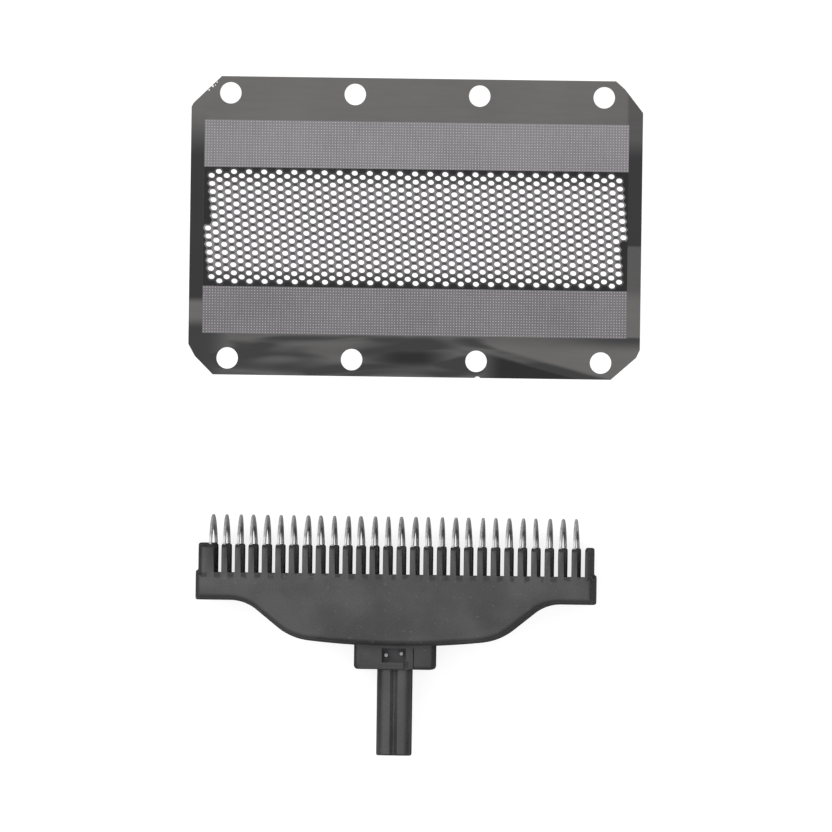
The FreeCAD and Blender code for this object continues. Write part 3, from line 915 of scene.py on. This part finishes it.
# Trough and slots, and the thin seats for the blades' tangs in the teeth
slotted = (blade_count - 1) * blade_pitch + slot_width
trough = block(
    (slots_left + slot_width / 2, slot_bottom, half_depth - trough_half_depth),
    (slots_left + slotted - slot_width / 2, tooth_top + PAST, half_depth + trough_half_depth),
)
cut_with(carrier, trough)
slots = block(
    (slots_left, slot_bottom, -PAST), (slots_left + slot_width, tooth_top + PAST, 2 * half_depth + PAST)
)
array(slots, blade_count, (blade_pitch, 0, 0))
cut_with(carrier, slots)
slot_sides = [slots_left + number * blade_pitch for number in range(blade_count)]
slot_sides += [side + slot_width for side in slot_sides]


def on_tooth_side(edge):
    ends = [end.co for end in edge.verts]
    if min(end.y for end in ends) < slot_bottom + SAME and span(edge).y < SAME:
        return False
    return any(all(abs(end.x - side) < SAME for end in ends) for side in slot_sides)


round_off(carrier, on_tooth_side, tooth_rounding, 2)
first_seat = slots_left - (blade_pitch - slot_width) / 2
for side in (1, -1):
    reach = half_depth + side * seat_reach
    seats = block(
        (first_seat - seat_width / 2, tooth_top - seat_length, reach - seat_half_depth),
        (first_seat + seat_width / 2, tooth_top + PAST, reach + seat_half_depth),
    )
    array(seats, blade_count, (blade_pitch, 0, 0))
    cut_with(carrier, seats)

# On each face a groove down the stem, and a window in the collar with two pips and two narrow channels
for side in (1, -1):
    groove_floor = half_depth + side * (stem_half_depth - groove_depth)
    groove = block(
        (-groove_half_width, carrier_low.y - PAST, groove_floor),
        (groove_half_width, collar_level, groove_floor + side * groove_depth),
    )
    edit(groove, "EDGE", lambda edge: all(abs(end.co.z - groove_floor) < SAME for end in edge.verts))
    bpy.ops.transform.resize(value=(groove_floor_share, 1, 1), center_override=(0, 0, 0))
    close()
    edit(groove, "FACE", lambda part: side * part.normal.z > FACING)
    pull((0, 0, side * PAST))
    close()
    cut_with(carrier, groove)
    collar_face = half_depth + side * collar_half_depth
    outside = collar_face + side * PAST
    window = block(
        (-window_half_width, window_low, collar_face - side * window_depth),
        (window_half_width, window_high, outside),
    )
    cut_with(carrier, window)
    for left, right, high, depth in channels:
        channel = block(
            (left, collar_level - channel_past, collar_face - side * depth), (right, high, outside)
        )
        cut_with(carrier, channel)
    for across, level in pip_places:
        pip_middle = collar_face - side * (pip_sink + window_depth / 2)
        bpy.ops.mesh.primitive_cylinder_add(
            vertices=20, radius=pip_radius, depth=window_depth, location=(across, level, pip_middle)
        )
        pip = bpy.context.object
        settle(pip)
        round_off(pip, lambda edge: span(edge).z < SAME, pip_rounding, 2)
        cut_with(carrier, pip, "UNION")
bpy.ops.mesh.primitive_cylinder_add(
    vertices=48, radius=socket_radius, depth=2 * socket_depth, location=(0, carrier_low.y, half_depth),
    rotation=(math.pi / 2, 0, 0),
)
cut_with(carrier, bpy.context.object)
carrier.location = (stem_axis, 0, carrier_low.z)
settle(carrier)


def in_recess(face):
    """Whether a face lies in a slot, groove, window or channel, where the mould was left unpolished."""
    across = abs(face.center.x - stem_axis)
    level = face.center.y
    depth = abs(face.center.z - carrier_low.z - half_depth)
    in_groove = level < collar_level and across < groove_half_width and depth < stem_half_depth - NEAR
    at_collar = collar_level < level < belly_level and across < recess_half_width
    in_slot = level > slot_bottom - NEAR and abs(face.normal.x) > FACING and across < corner_reach
    return in_groove or (at_collar and depth < collar_half_depth - NEAR) or in_slot


def on_pip(face):
    across = face.center.x - stem_axis
    depth = abs(face.center.z - carrier_low.z - half_depth)
    near = [math.hypot(across - place, face.center.y - level) for place, level in pip_places]
    return min(near) < pip_radius + NEAR and depth > collar_half_depth - pip_show


black_plastic = finish_of(
    "black_plastic", colour=(0.021, 0.0205, 0.022), roughness=0.46, metallic=0, grain_scale=5200,
    cloud_scale=260, tone=0.60, bump=0.020 * MM,
)
rough_plastic = finish_of(
    "rough_plastic", colour=(0.072, 0.070, 0.074), roughness=0.80, metallic=0, grain_scale=5200,
    cloud_scale=260, tone=0.40, bump=0.012 * MM,
)
wall_plastic = finish_of(
    "wall_plastic", colour=(0.032, 0.031, 0.033), roughness=0.80, metallic=0, grain_scale=5200,
    cloud_scale=260, tone=0.40, bump=0.012 * MM,
)
# The tops of the two pips are painted pale: a painted highlight that stands for their glints
pip_highlight_plastic = finish_of(
    "pip_highlight_plastic", colour=(0.34, 0.32, 0.33), roughness=0.50, metallic=0, grain_scale=5200,
    cloud_scale=260, tone=0.20, bump=0.004 * MM,
)
pale_fleck = (0.045, 0.043, 0.046)
slot_shade_colour = (0.012, 0.012, 0.013)

# The polish is uneven, weak on the collar, strong down the stem, and gone in the patches of painted shade
# under the slots
nodes, links = black_plastic.node_tree.nodes, black_plastic.node_tree.links
shader = nodes["Principled BSDF"]
shader.inputs["Coat Roughness"].default_value = 0.36
place, _, across = place_on(black_plastic, (stem_axis, slot_bottom))
blots = nodes.new("ShaderNodeTexNoise")
blots.inputs["Scale"].default_value = 1.3
blots.inputs["Detail"].default_value = 1
links.new(place, blots.inputs["Vector"])
first_slot_shade = (slots_left + blade_pitch / 4, 0, 0)
beat = wave(black_plastic, place, (2 * math.pi / blade_pitch, 0, 0), first_slot_shade)
# Painted shade: dark, blotched patches under the foot of each slot, one for each slot
slot_shade = patch(
    black_plastic, (across, slot_shade_top), (across, slot_shade_foot), (beat, slot_shade_beat),
    (blots.outputs["Fac"], slot_shade_blots),
)
at_collar = patch(black_plastic, (across, collar_top), (across, collar_foot))
polish = work(
    black_plastic, "ADD", ease(black_plastic, nodes["grain"].outputs["Cloud"], *polish_fade),
    ease(black_plastic, across, *stem_polish),
)
coat = work(
    black_plastic, "MULTIPLY", polish, ease(black_plastic, slot_shade, 1.0, 0.0),
    ease(black_plastic, at_collar, *collar_polish),
)
links.new(coat, shader.inputs["Coat Weight"])
blend_colour(black_plastic, nodes["grain"].outputs["Flecks"], pale_fleck)
blend_colour(black_plastic, slot_shade, slot_shade_colour)
for finish in (black_plastic, rough_plastic, pip_highlight_plastic, wall_plastic):
    carrier.data.materials.append(finish)
POLISHED, ROUGH, PIP_HIGHLIGHT, WALL = range(4)
for face in carrier.data.polygons:
    if on_pip(face):
        face.material_index = PIP_HIGHLIGHT
    elif in_recess(face):
        face.material_index = ROUGH
    elif abs(face.normal.z) < SIDEWAYS:
        face.material_index = WALL
    else:
        face.material_index = POLISHED
finish_piece(carrier, "carrier_moulding", "black_plastic", "blade_carrier")


# Blades: thin spring-steel arches, stamped out and ground round on their outer rim. Each stands across
# the trough on a pair of teeth, with a tang sunk in each of them, and no two stand quite alike.
blade_thickness = 0.22
blade_radius = 4.4
ring_width = 1.15
arch_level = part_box("blade_01")[1].y / MM - blade_radius
tang_clearance = 0.01
tang_half_width = seat_half_depth - tang_clearance
tang_length = seat_length - tang_clearance
rim_grind = 0.05
most_lean = math.radians(1.3)
mean_twist = math.radians(1.1)
most_twist = math.radians(0.6)
lean_beat = 2.4
twist_beat = 1.7
foot_reflection_steel = (0.86, 0.85, 0.86)
foot_reflection_fade = (0.95, 0.45)
foot_reflection_metallic = (0.45, 0.95, 0.35)

bpy.ops.mesh.primitive_plane_add(size=1, location=(0, 0, 0))
blade = bpy.context.object
edit(blade, "VERT", everything)
bpy.ops.mesh.merge(type="CENTER")
ring_inside = half_depth + blade_radius - ring_width
bpy.ops.transform.translate(value=(-blade_thickness / 2, arch_level, ring_inside))
pull((0, 0, ring_width))
bpy.ops.mesh.select_all(action="SELECT")
bpy.ops.mesh.spin(steps=40, angle=math.pi, center=(0, arch_level, half_depth), axis=(1, 0, 0))
close()
trim(blade, (0, tooth_top, 0), (0, -1, 0))
for side in (1, -1):
    for edge_reach in (seat_reach - tang_half_width, seat_reach + tang_half_width):
        trim(blade, (0, 0, half_depth + side * edge_reach), (0, 0, 1), clear=False)


def over_tang(edge):
    reach = abs(abs(middle(edge).z - half_depth) - seat_reach)
    return abs(middle(edge).y - tooth_top) < SAME and reach < tang_half_width


edit(blade, "EDGE", over_tang)
pull((0, -tang_length, 0))
bpy.ops.mesh.select_all(action="SELECT")
pull((blade_thickness, 0, 0))
bpy.ops.mesh.select_all(action="SELECT")
bpy.ops.mesh.normals_make_consistent(inside=False)
close()


def on_outer_rim(edge):
    ends = [math.hypot(end.co.y - arch_level, end.co.z - half_depth) for end in edge.verts]
    return span(edge).x < SAME and min(ends) > blade_radius - NEAR


round_off(blade, on_outer_rim, rim_grind, 2)
blade_steel = finish_of(
    "blade_steel", colour=(0.60, 0.586, 0.594), roughness=0.48, metallic=0.35, grain_scale=4000,
    cloud_scale=700, tone=0.34, bump=0.002 * MM,
)
# Painted reflection: just above the teeth the blades' feet are painted pale and made less metallic, as if
# they mirrored the white surroundings
across = place_on(blade_steel, (0, tooth_top))[2]
blend_colour(blade_steel, ease(blade_steel, across, *foot_reflection_fade), foot_reflection_steel)
shader = blade_steel.node_tree.nodes["Principled BSDF"]
blade_steel.node_tree.links.new(ease(blade_steel, across, *foot_reflection_metallic), shader.inputs["Metallic"])
blade.data.materials.append(blade_steel)
for number in range(1, blade_count + 1):
    alone(blade)
    bpy.ops.object.duplicate()
    arch = bpy.context.object
    place = stem_axis + first_seat + (number - 1) * blade_pitch
    arch.location = (place, 0, carrier_low.z)
    settle(arch)
    root = (place, tooth_top, half_depth)
    edit(arch, "VERT", lambda part: part.co.y > tooth_top + NEAR)
    lean = most_lean * math.sin(lean_beat * number + 1)
    bpy.ops.transform.rotate(value=lean, orient_axis="Z", center_override=root)
    close()
    edit(arch, "VERT", lambda part: part.co.y > tooth_top - NEAR)
    twist = mean_twist + most_twist * math.sin(twist_beat * number)
    bpy.ops.transform.rotate(value=twist, orient_axis="Y", center_override=root)
    close()
    finish_piece(arch, "blade_arch_%02d" % number, "blade_steel", "blade_%02d" % number)
bpy.data.objects.remove(blade)
